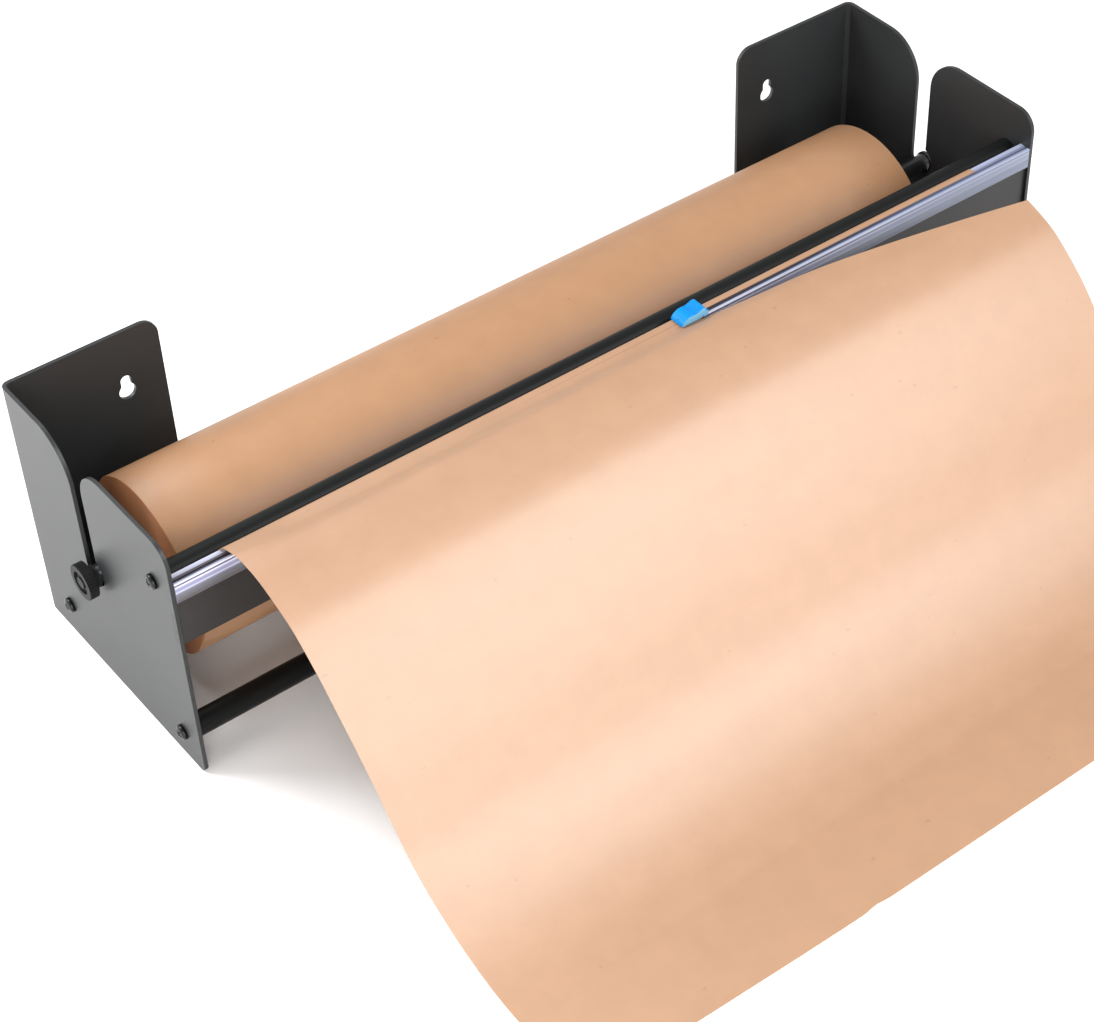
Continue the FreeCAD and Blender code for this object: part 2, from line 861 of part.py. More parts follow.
def slider_wave(front):
    """The thumb piece: the wave, trimmed flat below, with its grip ribs."""
    upper = slider_curve(0)
    lower = slider_curve(size("slider_wall").number)
    edges = [upper.toShape(), lower.toShape(),
             Part.makeLine(upper.StartPoint, lower.StartPoint),
             Part.makeLine(upper.EndPoint, lower.EndPoint)]
    profile = doc.addObject("Part::Feature", "slider_profile")
    profile.Shape = Part.Face(Part.Wire(Part.__sortEdges__(edges)))
    profile.Placement = FreeCAD.Placement()
    bind(profile, Placement__Base__y=size("slider_width") - front)
    wave = sweep("slider_wave", profile, Vector(0, -1, 0), size("slider_width"))
    below = box("slider_below", size("slider_length") * 2, size("slider_width") * 2,
                size("slider_rise"), size("slider_left") - size("slider_length") / 2,
                front + size("slider_width") / 2,
                size("slider_low_height") - size("slider_rise"))
    flat = doc.addObject("Part::Cut", "slider_flat")
    flat.Base = wave
    flat.Tool = below
    pieces = [flat]
    count = int(size("rib_count").number)
    span = upper.LastParameter - upper.FirstParameter
    for index in range(count):
        share = rib_first_share + (rib_last_share - rib_first_share) * index / (count - 1)
        top = upper.value(upper.FirstParameter + span * share)
        rib = doc.addObject("Part::Cylinder", "slider_rib_%d" % (index + 1))
        rib.Placement = FreeCAD.Placement(
            Vector(top.x, (size("slider_width") - front).number, top.z),
            FreeCAD.Rotation(Vector(1, 0, 0), 90))
        bind(rib, Radius=size("rib_radius"), Height=size("slider_width"))
        pieces.append(rib)
    return pieces


def slider_hook(name, rear_depth, reach):
    """A tab with a round toe at the slider's right end, which it passes by a reach."""
    body = new_body(name, size("slider_left") + size("slider_length") - size("hook_length")
                    + reach, rear_depth, size("slider_low_height"))
    drawing = new_sketch(body, name + "_outline", "XZ")
    top = size("slider_rise") - size("slider_wall") / 2
    draw_rounded(drawing, [
        (zero, zero, size("hook_radius")), (size("hook_length"), zero, size("hook_radius")),
        (size("hook_length"), top), (zero, top),
    ])
    pad(body, drawing, size("hook_thickness"))
    return body


def slider_body():
    """The wave, a block that rides over the slot, and a hook on each side."""
    half = size("slider_width") / 2
    front = blade_slot + half
    rear = blade_slot - half
    pieces = slider_wave(front)
    block_x = size("slider_left") + size("block_start")
    pieces.append(box("slider_block", size("block_length"), size("block_width"),
                      size("slider_low_height") + size("slider_rise") / 2
                      - size("block_low_height"), block_x,
                      blade_slot + size("block_width") / 2,
                      size("block_low_height")))
    pieces.append(slider_hook("slider_front_hook", front - size("hook_thickness"),
                              size("hook_reach")))
    pieces.append(slider_hook("slider_rear_hook", rear, zero))
    whole = doc.addObject("Part::MultiFuse", "slider_whole")
    whole.Shapes = pieces
    gap = size("keel_gap")
    socket = box("slider_socket",
                 size("keel_start") - size("block_start") + size("keel_length") + gap + overrun,
                 size("keel_thickness") + gap * 2,
                 size("keel_top_height") + gap - size("block_low_height") + overrun,
                 block_x - overrun,
                 blade_slot + size("keel_thickness") / 2 + gap,
                 size("block_low_height") - overrun)
    cut = doc.addObject("Part::Cut", "slider_body")
    cut.Base = whole
    cut.Tool = socket
    keep("slider_body", cut)


def slider_runner():
    """The keel through the slot and the foot that keeps the slider in the channel."""
    low = channel_floor + size("foot_gap")
    foot_top = size("track_top_height") - size("track_roof") - size("foot_gap")
    half_keel = size("keel_thickness") / 2
    body = new_body("slider_runner", size("slider_left") + size("keel_start"),
                    blade_slot, zero)
    drawing = new_sketch(body, "runner_section", "YZ")
    reach_front = track_front - size("track_wall") - size("foot_gap") - blade_slot
    reach_rear = blade_slot - (
        track_rear + size("track_wall") + size("foot_gap"))
    draw(drawing, [
        (-reach_front, low), (reach_rear, low), (reach_rear, foot_top),
        (half_keel, foot_top), (half_keel, size("keel_top_height")),
        (-half_keel, size("keel_top_height")), (-half_keel, foot_top),
        (-reach_front, foot_top),
    ])
    pad(body, drawing, size("keel_length"))
    keep("slider_runner", body)


def cutter_blade():
    """The steel blade ahead of the keel, with its slanted edge towards the left."""
    body = new_body("cutter_blade", size("slider_left") + size("keel_start") - size("keel_gap"),
                    blade_slot, zero)
    drawing = new_sketch(body, "blade_outline", "XZ")
    low = channel_floor + size("foot_gap")
    top = size("keel_top_height")
    tip = -size("blade_length")
    draw(drawing, [
        (tip + size("blade_slant"), low), (zero, low), (zero, top),
        (tip + size("blade_slant"), top), (tip, size("track_top_height")),
    ])
    pad(body, drawing, size("blade_thickness"), both_ways=True)
    keep("cutter_blade", body)


def build():
    bracket("left_bracket", -1)
    bracket("right_bracket", 1)
    for short, name, depth, height in bar_places:
        tube(name, size("bar_radius"), size("bar_radius") - size("bar_wall"), inner_x * 2,
             -inner_x, depth, height)
        for word, side in (("left", -1), ("right", 1)):
            bar_plug("%s_plug_%s" % (short, word), side, depth, height)
            bar_screw("%s_screw_%s" % (short, word), side, depth, height)
    front_panel()
    track_tape()
    cutter_track()
    roll_shaft()
    left_knob()
    knob_insert()
    tube("roll_core", core_radius, size("core_bore_radius"), paper_width,
         roll_left, pocket_depth, roll_height)
    tube("paper_roll", size("roll_radius"), core_radius + size("wrap_gap"),
         paper_width, roll_left, pocket_depth, roll_height)
    paper_web()
    paper_sheet()
    slider_body()
    slider_runner()
    cutter_blade()
    doc.recompute()


def check_and_write():
    """Stop at a feature that failed, then write one file for each piece."""
    for thing in doc.Objects:
        if "Invalid" in thing.State or "Error" in thing.State:
            raise RuntimeError("%s failed: %s" % (thing.Name, thing.State))
    for name, piece in parts:
        if piece.Shape.isNull() or not piece.Shape.isValid() or piece.Shape.Volume <= 0:
            raise RuntimeError("%s has no sound shape" % name)
    os.makedirs("parts", exist_ok=True)
    for name, piece in parts:
        piece.Shape.exportStep("parts/%s.step" % name)
        extent = piece.Shape.BoundBox
        print("%-18s solids %d volume %.0f x %.1f %.1f y %.1f %.1f z %.1f %.1f" % (
            name, len(piece.Shape.Solids), piece.Shape.Volume, extent.XMin, extent.XMax,
            extent.YMin, extent.YMax, extent.ZMin, extent.ZMax))


build()
check_and_write()
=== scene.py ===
import math

import bmesh
import bpy
import numpy as np
from mathutils import Matrix, Vector


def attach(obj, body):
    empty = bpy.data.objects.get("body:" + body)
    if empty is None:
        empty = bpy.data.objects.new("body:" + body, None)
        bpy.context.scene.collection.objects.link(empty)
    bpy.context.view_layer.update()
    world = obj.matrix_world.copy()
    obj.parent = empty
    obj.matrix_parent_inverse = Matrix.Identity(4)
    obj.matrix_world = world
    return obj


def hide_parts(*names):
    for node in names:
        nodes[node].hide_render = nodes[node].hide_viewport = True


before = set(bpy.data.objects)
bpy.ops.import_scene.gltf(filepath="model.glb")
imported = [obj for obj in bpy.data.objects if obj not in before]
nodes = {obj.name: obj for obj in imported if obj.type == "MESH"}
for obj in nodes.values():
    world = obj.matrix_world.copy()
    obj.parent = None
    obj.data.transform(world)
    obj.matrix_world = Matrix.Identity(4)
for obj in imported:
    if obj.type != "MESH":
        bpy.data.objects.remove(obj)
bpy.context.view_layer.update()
print("frame loaded with", len(nodes), "nodes")


# places that several pieces share, in millimetres forward of the wall and above the table

mm = 0.001
shared = {"originHeight": 106.5, "rollAxis": (66.9, 59.5), "guideAxis": (129.9, 113.1)}


def at(x, depth, height):
    # from millimetres to the metres of the frame, whose origin lies above the table
    return Vector((x, -depth, height - shared["originHeight"])) * mm


# the shop photograph is taken from above the left front corner

cameraLook = {
    "place": (-0.58812, -0.89713, 0.78558),
    "right": (0.77432, -0.63280, 0.00094),
    "up": (0.43792, 0.53693, 0.72106),
    "back": (-0.45679, -0.55792, 0.69287),
    "sensor": 36, "lens": 83.548, "shift": (-0.12706, 0.04872), "clipStart": 0.01,
}


def addCamera(look):
    data = bpy.data.cameras.new("shopCamera")
    data.sensor_fit = "HORIZONTAL"
    data.sensor_width = look["sensor"]
    data.lens = look["lens"]
    data.shift_x, data.shift_y = look["shift"]
    data.clip_start = look["clipStart"]
    camera = bpy.data.objects.new("shopCamera", data)
    bpy.context.scene.collection.objects.link(camera)
    turn = Matrix((look["right"], look["up"], look["back"])).transposed()
    camera.matrix_world = Matrix.Translation(look["place"]) @ turn.to_4x4()
    bpy.context.scene.camera = camera


addCamera(cameraLook)
print("camera set")


# shader groups shared by the finishes

def newGroup(name, inputs, outputs):
    group = bpy.data.node_groups.new(name, "ShaderNodeTree")
    for way, sockets in (("INPUT", inputs), ("OUTPUT", outputs)):
        for label, kind in sockets.items():
            group.interface.new_socket(label, in_out=way, socket_type="NodeSocket" + kind)
    return group, group.nodes.new("NodeGroupInput"), group.nodes.new("NodeGroupOutput")


def addNode(tree, kind, values=None, **settings):
    node = tree.nodes.new(kind)
    for key, value in settings.items():
        setattr(node, key, value)
    for key, value in (values or {}).items():
        node.inputs[key].default_value = value
    return node


def addTexture(tree, kind, place, values=None, scale=None):
    texture = addNode(tree, kind, values)
    tree.links.new(place, texture.inputs["Vector"])
    if scale is not None:
        tree.links.new(scale, texture.inputs["Scale"])
    return texture


def calc(tree, operation, *terms, clamp=False):
    node = addNode(tree, "ShaderNodeMath", operation=operation, use_clamp=clamp)
    for index, term in enumerate(terms):
        if isinstance(term, (int, float)):
            node.inputs[index].default_value = term
        else:
            tree.links.new(term, node.inputs[index])
    return node.outputs[0]


def blendColors(tree, amount, first, second):
    node = addNode(tree, "ShaderNodeMix", data_type="RGBA")
    for socket, value in ((0, amount), (6, first), (7, second)):
        if isinstance(value, bpy.types.NodeSocket):
            tree.links.new(value, node.inputs[socket])
        else:
            node.inputs[socket].default_value = (*value, 1)
    return node.outputs[2]


def objectSpace(tree, scale=(1, 1, 1), location=(0, 0, 0)):
    coords = addNode(tree, "ShaderNodeTexCoord")
    mapping = addNode(tree, "ShaderNodeMapping", {"Scale": scale, "Location": location})
    tree.links.new(coords.outputs["Object"], mapping.inputs["Vector"])
    return mapping.outputs["Vector"]


def splitVector(tree, vector):
    split = addNode(tree, "ShaderNodeSeparateXYZ")
    tree.links.new(vector, split.inputs[0])
    return split.outputs


def facing(tree):
    # the way that the surface looks, as X, Y and Z
    return splitVector(tree, addNode(tree, "ShaderNodeTexCoord").outputs["Normal"])


grainLook = {"grainDetail": 2.0, "patchDetail": 3.0, "roughness": 0.58}


def makeFineGrain(look):
    # orange peel of a powder coat, or the bloom on moulded plastic, with broad patches
    group, given, result = newGroup("fineGrain", {"Grain Scale": "Float", "Patch Scale": "Float"},
                                    {"Height": "Float", "Patch": "Float"})
    place = objectSpace(group)
    for scale, detail, out in (("Grain Scale", look["grainDetail"], "Height"),
                               ("Patch Scale", look["patchDetail"], "Patch")):
        noise = addTexture(group, "ShaderNodeTexNoise", place,
                           {"Detail": detail, "Roughness": look["roughness"]},
                           given.outputs[scale])
        group.links.new(noise.outputs["Fac"], result.inputs[out])
    return group


pulpLook = {
    "cloud": {"Detail": 5.0, "Roughness": 0.62}, "cloudGain": 1.1, "cloudBase": -0.2,
    "fibre": {"Detail": 3.0, "Roughness": 0.7, "Distortion": 0.6}, "fibreGain": 0.3,
    "fibreStretch": (0.3, 1, 1), "ragged": {"Scale": 900.0, "Detail": 1.0},
    "fleckStretch": (0.55, 1, 1), "fleckSize": 0.42, "fleckRarity": 0.93, "fleckDepth": 0.35,
    "cloudHeight": 0.4,
}


def makeKraftPulp(look):
    # cloudy pulp, fibres that lie across the web, and a few darker flecks
    group, given, result = newGroup(
        "kraftPulp",
        {"Cloud Scale": "Float", "Fibre Scale": "Float", "Fleck Scale": "Float",
         "Light": "Color", "Dark": "Color", "Fleck": "Color"},
        {"Color": "Color", "Height": "Float"})
    place = objectSpace(group)
    cloud = addTexture(group, "ShaderNodeTexNoise", place, look["cloud"],
                       given.outputs["Cloud Scale"])
    fibre = addTexture(group, "ShaderNodeTexNoise", objectSpace(group, look["fibreStretch"]),
                       look["fibre"], given.outputs["Fibre Scale"])
    ragged = addTexture(group, "ShaderNodeTexNoise", place, look["ragged"])
    fleck = addTexture(group, "ShaderNodeTexVoronoi", objectSpace(group, look["fleckStretch"]),
                       scale=given.outputs["Fleck Scale"])
    chance = addNode(group, "ShaderNodeSeparateColor")
    group.links.new(fleck.outputs["Color"], chance.inputs["Color"])
    reach = calc(group, "MULTIPLY", ragged.outputs["Fac"], chance.outputs[1])
    small = calc(group, "LESS_THAN", fleck.outputs["Distance"],
                 calc(group, "MULTIPLY", reach, look["fleckSize"]))
    rare = calc(group, "GREATER_THAN", chance.outputs[0], look["fleckRarity"])
    speck = calc(group, "MULTIPLY", small, rare)
    amount = calc(group, "MULTIPLY_ADD", cloud.outputs["Fac"], look["cloudGain"],
                  look["cloudBase"])
    amount = calc(group, "MULTIPLY_ADD", fibre.outputs["Fac"], look["fibreGain"], amount,
                  clamp=True)
    base = blendColors(group, amount, given.outputs["Dark"], given.outputs["Light"])
    final = blendColors(group, calc(group, "MULTIPLY", speck, look["fleckDepth"]), base,
                        given.outputs["Fleck"])
    group.links.new(final, result.inputs["Color"])
    height = calc(group, "MULTIPLY_ADD", cloud.outputs["Fac"], look["cloudHeight"],
                  fibre.outputs["Fac"])
    group.links.new(height, result.inputs["Height"])
    return group


ringLook = {"Scale": 30.0, "Detail": 2.0}


def makeAxisRings(look):
    # radius from an axis along X, as rings that wander a little
    group, given, result = newGroup("axisRings",
                                    {"Vector": "Vector", "Rings": "Float", "Wander": "Float"},
                                    {"Ring": "Float"})
    y, z = splitVector(group, given.outputs["Vector"])[1:3]
    radius = calc(group, "SQRT", calc(group, "ADD", calc(group, "MULTIPLY", y, y),
                                      calc(group, "MULTIPLY", z, z)))
    noise = addTexture(group, "ShaderNodeTexNoise", given.outputs["Vector"], look)
    turns = calc(group, "MULTIPLY", radius, given.outputs["Rings"])
    drift = calc(group, "MULTIPLY", noise.outputs["Fac"], given.outputs["Wander"])
    # up and down once in each ring, from 0 to 1
    ring = calc(group, "PINGPONG", calc(group, "ADD", turns, drift), 0.5)
    group.links.new(calc(group, "MULTIPLY", ring, 2.0), result.inputs["Ring"])
    return group


fineGrain = makeFineGrain(grainLook)
kraftPulp = makeKraftPulp(pulpLook)
axisRings = makeAxisRings(ringLook)
print("shader groups built")


# coats, plastics and kraft paper

def newFinish(name, look):
    material = bpy.data.materials.new(name)
    material.use_nodes = True
    shader = material.node_tree.nodes["Principled BSDF"]
    shader.inputs["Base Color"].default_value = (*look["color"], 1)
    shader.inputs["Roughness"].default_value = look["roughness"]
    for key in ("Metallic", "IOR", "Transmission Weight"):
        if key in look:
            shader.inputs[key].default_value = look[key]
    return material, material.node_tree, shader


surfaceLook = {"bumpDistance": 0.0002, "edgeSamples": 6, "darker": 0.8, "lighter": 1.25}


def bumpFrom(tree, shader, height, strength, distance=surfaceLook["bumpDistance"], edge=0.0):
    # an edge is the radius, in metres, to which sharp corners look rounded
    bump = addNode(tree, "ShaderNodeBump", {"Strength": strength, "Distance": distance})
    tree.links.new(height, bump.inputs["Height"])
    if edge:
        rounded = addNode(tree, "ShaderNodeBevel", {"Radius": edge},
                          samples=surfaceLook["edgeSamples"])
        tree.links.new(rounded.outputs["Normal"], bump.inputs["Normal"])
    tree.links.new(bump.outputs["Normal"], shader.inputs["Normal"])


def grained(tree, shader, look):
    grain = addNode(tree, "ShaderNodeGroup",
                    {"Grain Scale": look["grain"], "Patch Scale": look["patches"]},
                    node_tree=fineGrain)
    bumpFrom(tree, shader, grain.outputs["Height"], look["bump"], edge=look.get("edge", 0))
    return grain.outputs["Patch"]


def coatedFinish(name, look):
    # an even coat whose gloss and depth of colour drift a little over the surface
    material, tree, shader = newFinish(name, look)
    patch = grained(tree, shader, look)
    drift = look["drift"]
    gloss = calc(tree, "MULTIPLY_ADD", patch, drift, look["roughness"] - drift / 2, clamp=True)
    tree.links.new(gloss, shader.inputs["Roughness"])
    darker = [c * surfaceLook["darker"] for c in look["color"]]
    lighter = [min(c * surfaceLook["lighter"], 1) for c in look["color"]]
    tree.links.new(blendColors(tree, patch, darker, lighter), shader.inputs["Base Color"])
    return material


coats = {
    "bracketCoat": {"color": (0.0184, 0.0196, 0.0204), "roughness": 0.40, "grain": 2600.0,
                    "patches": 14.0, "bump": 0.10, "drift": 0.06, "IOR": 1.42,
                    "edge": 0.0004},
    "barCoat": {"color": (0.0035, 0.0040, 0.0040), "roughness": 0.44, "grain": 2600.0,
                "patches": 20.0, "bump": 0.08, "drift": 0.06, "IOR": 1.28},
    # a black coat whose warm brown tint is a painted reflection of the kraft paper in front of it
    "panelCoat": {"color": (0.0170, 0.0155, 0.0150), "roughness": 0.40, "grain": 2600.0,
                  "patches": 16.0, "bump": 0.10, "drift": 0.06, "IOR": 1.42,
                  "edge": 0.0004},
    "screwOxide": {"color": (0.0045, 0.0045, 0.0050), "roughness": 0.26, "grain": 4200.0,
                   "patches": 120.0, "bump": 0.12, "drift": 0.10, "IOR": 1.36},
    "knobPlastic": {"color": (0.0090, 0.0092, 0.0096), "roughness": 0.52, "grain": 3600.0,
                    "patches": 60.0, "bump": 0.12, "drift": 0.08, "IOR": 1.24},
    "plugPlastic": {"color": (0.0200, 0.0200, 0.0210), "roughness": 0.48, "grain": 3000.0,
                    "patches": 60.0, "bump": 0.12, "drift": 0.10},
    "runnerPlastic": {"color": (0.0010, 0.2000, 0.5600), "roughness": 0.40, "grain": 2400.0,
                      "patches": 120.0, "bump": 0.05, "drift": 0.08},
    "bladeSteel": {"color": (0.6200, 0.6300, 0.6500), "roughness": 0.22, "Metallic": 1.0,
                   "grain": 5200.0, "patches": 300.0, "bump": 0.06, "drift": 0.12},
    "insertBrass": {"color": (0.6900, 0.4700, 0.1900), "roughness": 0.28, "Metallic": 1.0,
                    "grain": 4200.0, "patches": 300.0, "bump": 0.06, "drift": 0.12},
    "shaftSteel": {"color": (0.0120, 0.0122, 0.0125), "roughness": 0.26, "grain": 3600.0,
                   "patches": 40.0, "bump": 0.06, "drift": 0.10},
    "clearTape": {"color": (0.4400, 0.4400, 0.4700), "roughness": 0.45, "grain": 900.0,
                  "patches": 60.0, "bump": 0.10, "drift": 0.12},
}
finishes = {name: coatedFinish(name, look) for name, look in coats.items()}


def kraftFinish(name, look):
    material, tree, shader = newFinish(name, look)
    pulp = addNode(tree, "ShaderNodeGroup",
                   {"Cloud Scale": look["cloud"], "Fibre Scale": look["fibre"],
                    "Fleck Scale": look["fleckScale"], "Light": (*look["light"], 1),
                    "Dark": (*look["dark"], 1), "Fleck": (*look["fleck"], 1)},
                   node_tree=kraftPulp)
    bumpFrom(tree, shader, pulp.outputs["Height"], look["bump"])
    return material, tree, shader, pulp.outputs["Color"]


sheetKraftLook = {
    "color": (0.34, 0.17, 0.08), "roughness": 0.53, "IOR": 2.3, "cloud": 60.0, "fibre": 420.0,
    "fleckScale": 260.0, "light": (0.362, 0.181, 0.078), "dark": (0.292, 0.140, 0.056),
    "fleck": (0.14, 0.07, 0.03), "bump": 0.06,
}


def makeSheetKraft(look):
    material, tree, shader, pulp = kraftFinish("sheetKraft", look)
    tree.links.new(pulp, shader.inputs["Base Color"])
    return material


rollKraftLook = {
    "color": (0.34, 0.19, 0.10), "roughness": 0.5, "IOR": 1.55, "cloud": 60.0, "fibre": 420.0,
    "fleckScale": 260.0, "light": (0.368, 0.196, 0.098), "dark": (0.308, 0.158, 0.076),
    "fleck": (0.14, 0.07, 0.03), "bump": 0.06, "rings": 3400.0, "wander": 0.3,
    "endFacing": 0.6, "lapDark": (0.520, 0.205, 0.086), "lapLight": (0.545, 0.218, 0.092),
}


def makeRollKraft(look):
    # the ends of the wound paper show the edges of its laps
    material, tree, shader, pulp = kraftFinish("rollKraft", look)
    rings = addNode(tree, "ShaderNodeGroup", {"Rings": look["rings"], "Wander": look["wander"]},
                    node_tree=axisRings)
    tree.links.new(objectSpace(tree, location=-at(0, *shared["rollAxis"])),
                   rings.inputs["Vector"])
    onEnd = calc(tree, "GREATER_THAN", calc(tree, "ABSOLUTE", facing(tree)[0]),
                 look["endFacing"])
    laps = blendColors(tree, rings.outputs["Ring"], look["lapDark"], look["lapLight"])
    tree.links.new(blendColors(tree, onEnd, pulp, laps), shader.inputs["Base Color"])
    return material


coreBoardLook = {
    "color": (0.30, 0.19, 0.11), "roughness": 0.7, "cloud": 60.0, "fibre": 500.0,
    "fleckScale": 160.0, "light": (0.40, 0.26, 0.155), "dark": (0.26, 0.16, 0.09),
    "fleck": (0.14, 0.08, 0.04), "bump": 0.2, "seam": (0.10, 0.06, 0.03), "seamShare": 0.02,
    "seamDepth": 0.6, "turnsPerMetre": 14.0,
}


def makeCoreBoard(look):
    # board with the spiral seam that a wound tube shows
    material, tree, shader, pulp = kraftFinish("coreBoard", look)
    x, y, z = splitVector(tree, objectSpace(tree, location=-at(0, *shared["rollAxis"])))
    around = calc(tree, "DIVIDE", calc(tree, "ARCTAN2", y, z), 2 * math.pi)
    winding = calc(tree, "MULTIPLY_ADD", x, look["turnsPerMetre"], around)
    seam = calc(tree, "LESS_THAN", calc(tree, "FRACT", winding), look["seamShare"])
    depth = calc(tree, "MULTIPLY", seam, look["seamDepth"])
    tree.links.new(blendColors(tree, depth, pulp, look["seam"]), shader.inputs["Base Color"])
    return material


trackLook = {
    "color": (0.5, 0.5, 0.6), "roughness": 0.26, "IOR": 1.36, "Transmission Weight": 0.1,
    # colours by millimetres forward of the wall, and by height above the table; the white bands
    # are painted highlights on the ribs, the near-black ones mostly painted shade in the blade's
    # groove and between the ribs
    "top": [(139.3, (0.42, 0.43, 0.54)), (140.2, (0.54, 0.55, 0.66)),
            (142.0, (0.34, 0.35, 0.46)), (142.3, (0.030, 0.024, 0.026)),
            (145.1, (0.024, 0.018, 0.020)), (145.4, (0.36, 0.39, 0.53)),
            (146.4, (0.44, 0.47, 0.61))],
    "front": [(110.0, (0.055, 0.046, 0.046)), (110.8, (0.078, 0.072, 0.076)),
              (114.4, (0.098, 0.094, 0.102)), (115.4, (0.110, 0.115, 0.150)),
              (115.8, (0.380, 0.380, 0.500)), (116.5, (0.430, 0.430, 0.560)),
              (117.0, (0.240, 0.240, 0.360)), (118.6, (0.280, 0.276, 0.420)),
              (119.0, (0.620, 0.620, 0.740)), (119.6, (0.640, 0.640, 0.760)),
              (119.9, (0.050, 0.040, 0.100)), (120.6, (0.070, 0.056, 0.130)),
              (120.9, (0.700, 0.700, 0.780)), (121.5, (0.760, 0.760, 0.820))],
    "frontFacing": -0.5, "frontDepth": 145.6,
    # toward the right end the painted bands of highlight and shade fade into a plainer colour
    "fadeGain": 6.0, "fadeBase": -0.2, "plainFront": (0.200, 0.230, 0.310), "frontFade": 0.8,
    "plainTop": (0.200, 0.240, 0.380), "topFade": 0.6,
    "lines": {"Scale": 1.0, "Detail": 3.0, "Roughness": 0.7}, "lineStretch": (6, 900, 900),
    "lineGain": 0.8, "lineBase": -0.33, "line": (0.42, 0.43, 0.54),
    "bump": 0.12, "bumpDistance": 0.0001,
}


def bandStack(tree, value, stops):
    # colours that change along one measure, given in millimetres
    low, high = stops[0][0], stops[-1][0]
    spread = addNode(tree, "ShaderNodeMapRange", {"From Min": low, "From Max": high})
    tree.links.new(value, spread.inputs["Value"])
    ramp = addNode(tree, "ShaderNodeValToRGB")
    points = ramp.color_ramp.elements
    for index, (place, color) in enumerate(stops):
        share = (place - low) / (high - low)
        point = points[index] if index < 2 else points.new(share)
        point.position = share
        point.color = (*color, 1)
    tree.links.new(spread.outputs["Result"], ramp.inputs["Fac"])
    return ramp.outputs["Color"]


def makeClearTrack(look):
    # clear plastic painted as bands along its length: painted highlights and painted shade of its
    # ribs over a lilac tint
    material, tree, shader = newFinish("clearTrack", look)
    x, y, z = splitVector(tree, objectSpace(tree))
    depth = calc(tree, "MULTIPLY", y, -1 / mm)
    height = calc(tree, "MULTIPLY_ADD", z, 1 / mm, shared["originHeight"])
    onFront = calc(tree, "MULTIPLY",
                   calc(tree, "LESS_THAN", facing(tree)[1], look["frontFacing"]),
                   calc(tree, "GREATER_THAN", depth, look["frontDepth"]))
    fade = calc(tree, "MULTIPLY_ADD", x, look["fadeGain"], look["fadeBase"], clamp=True)
    front = blendColors(tree, calc(tree, "MULTIPLY", fade, look["frontFade"]),
                        bandStack(tree, height, look["front"]), look["plainFront"])
    top = blendColors(tree, calc(tree, "MULTIPLY", fade, look["topFade"]),
                      bandStack(tree, depth, look["top"]), look["plainTop"])
    # painted highlights and shade: the band colours stand in for the light and shade on the ribs
    paintedRibBands = blendColors(tree, onFront, top, front)
    lines = addTexture(tree, "ShaderNodeTexNoise", objectSpace(tree, look["lineStretch"]),
                       look["lines"])
    streak = calc(tree, "MULTIPLY_ADD", lines.outputs["Fac"], look["lineGain"],
                  look["lineBase"], clamp=True)
    tree.links.new(blendColors(tree, streak, paintedRibBands, look["line"]), shader.inputs["Base Color"])
    bumpFrom(tree, shader, lines.outputs["Fac"], look["bump"], look["bumpDistance"])
    return material


sliderLook = {
    # side is the colour of the painted highlight on the upright faces
    "color": (0.0005, 0.2050, 0.5500), "side": (0.150, 0.380, 0.560), "sideFacing": 0.8,
    "roughness": 0.42, "IOR": 1.22, "grain": 2400.0, "patches": 120.0, "bump": 0.05,
    "edge": 0.0001, "darker": 0.85, "lighter": 1.15,
}


def makeSliderPlastic(look):
    # moulded blue; its upright sides are painted paler, a painted highlight for the light they
    # catch
    material, tree, shader = newFinish("sliderPlastic", look)
    patch = grained(tree, shader, look)
    # painted highlight: faces turned to the front or back get the paler side colour
    paintedSideHighlight = calc(tree, "GREATER_THAN", calc(tree, "ABSOLUTE", facing(tree)[1]),
                  look["sideFacing"])
    blue = blendColors(tree, patch, [c * look["darker"] for c in look["color"]],
                       [c * look["lighter"] for c in look["color"]])
    tree.links.new(blendColors(tree, paintedSideHighlight, blue, look["side"]), shader.inputs["Base Color"])
    return material


finishes["sheetKraft"] = makeSheetKraft(sheetKraftLook)
finishes["rollKraft"] = makeRollKraft(rollKraftLook)
finishes["coreBoard"] = makeCoreBoard(coreBoardLook)
finishes["clearTrack"] = makeClearTrack(trackLook)
finishes["sliderPlastic"] = makeSliderPlastic(sliderLook)
print("finishes made:", len(finishes))


# what every new piece goes through

def finishPiece(name, shape, finish, body):
    bmesh.ops.recalc_face_normals(shape, faces=shape.faces)
    mesh = bpy.data.meshes.new(name)
    shape.to_mesh(mesh)
    shape.free()
    piece = bpy.data.objects.new(name, mesh)
    bpy.context.scene.collection.objects.link(piece)
    mesh.materials.append(finishes[finish])
    for face in mesh.polygons:
        face.use_smooth = True
    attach(piece, body)
    return piece


def thicken(piece, thickness):
    # half to each side of the drawn surface
    wall = piece.modifiers.new("wall", "SOLIDIFY")
    wall.thickness = thickness
    wall.offset = 0.0
    wall.use_even_offset = True


# the paper that the sheet and the web are made of

paperLook = {
    "left": -233.8, "width": 457.2, "gauge": 0.30, "slot": 143.85, "lay": 121.85,
    "columns": 150,
    # half the gap that the blade leaves at the slot, by the place along the width
    "parting": [(22.6, 0.0), (24.5, 0.5), (27.5, 0.75)],
    # how far the left edge stands off the track, by depth
    "lift": [(139.6, 0.0), (143.85, 3.9), (148.6, 5.5), (154.6, 3.6), (158.0, 1.7),
             (162.5, 0.85), (173.0, 0.5), (190.0, 0.0)],
    "liftWidth": 26.0,
}
paperRight = paperLook["left"] + paperLook["width"]
# where the columns stand along the width: closer together by the start of the cut
columnShares = [(0.0, paperLook["left"]), (0.08, -190.0), (0.46, 20.0), (0.57, 38.0),
                (1.0, paperRight)]


def between(value, pairs):
    return float(np.interp(value, [a for a, b in pairs], [b for a, b in pairs]))


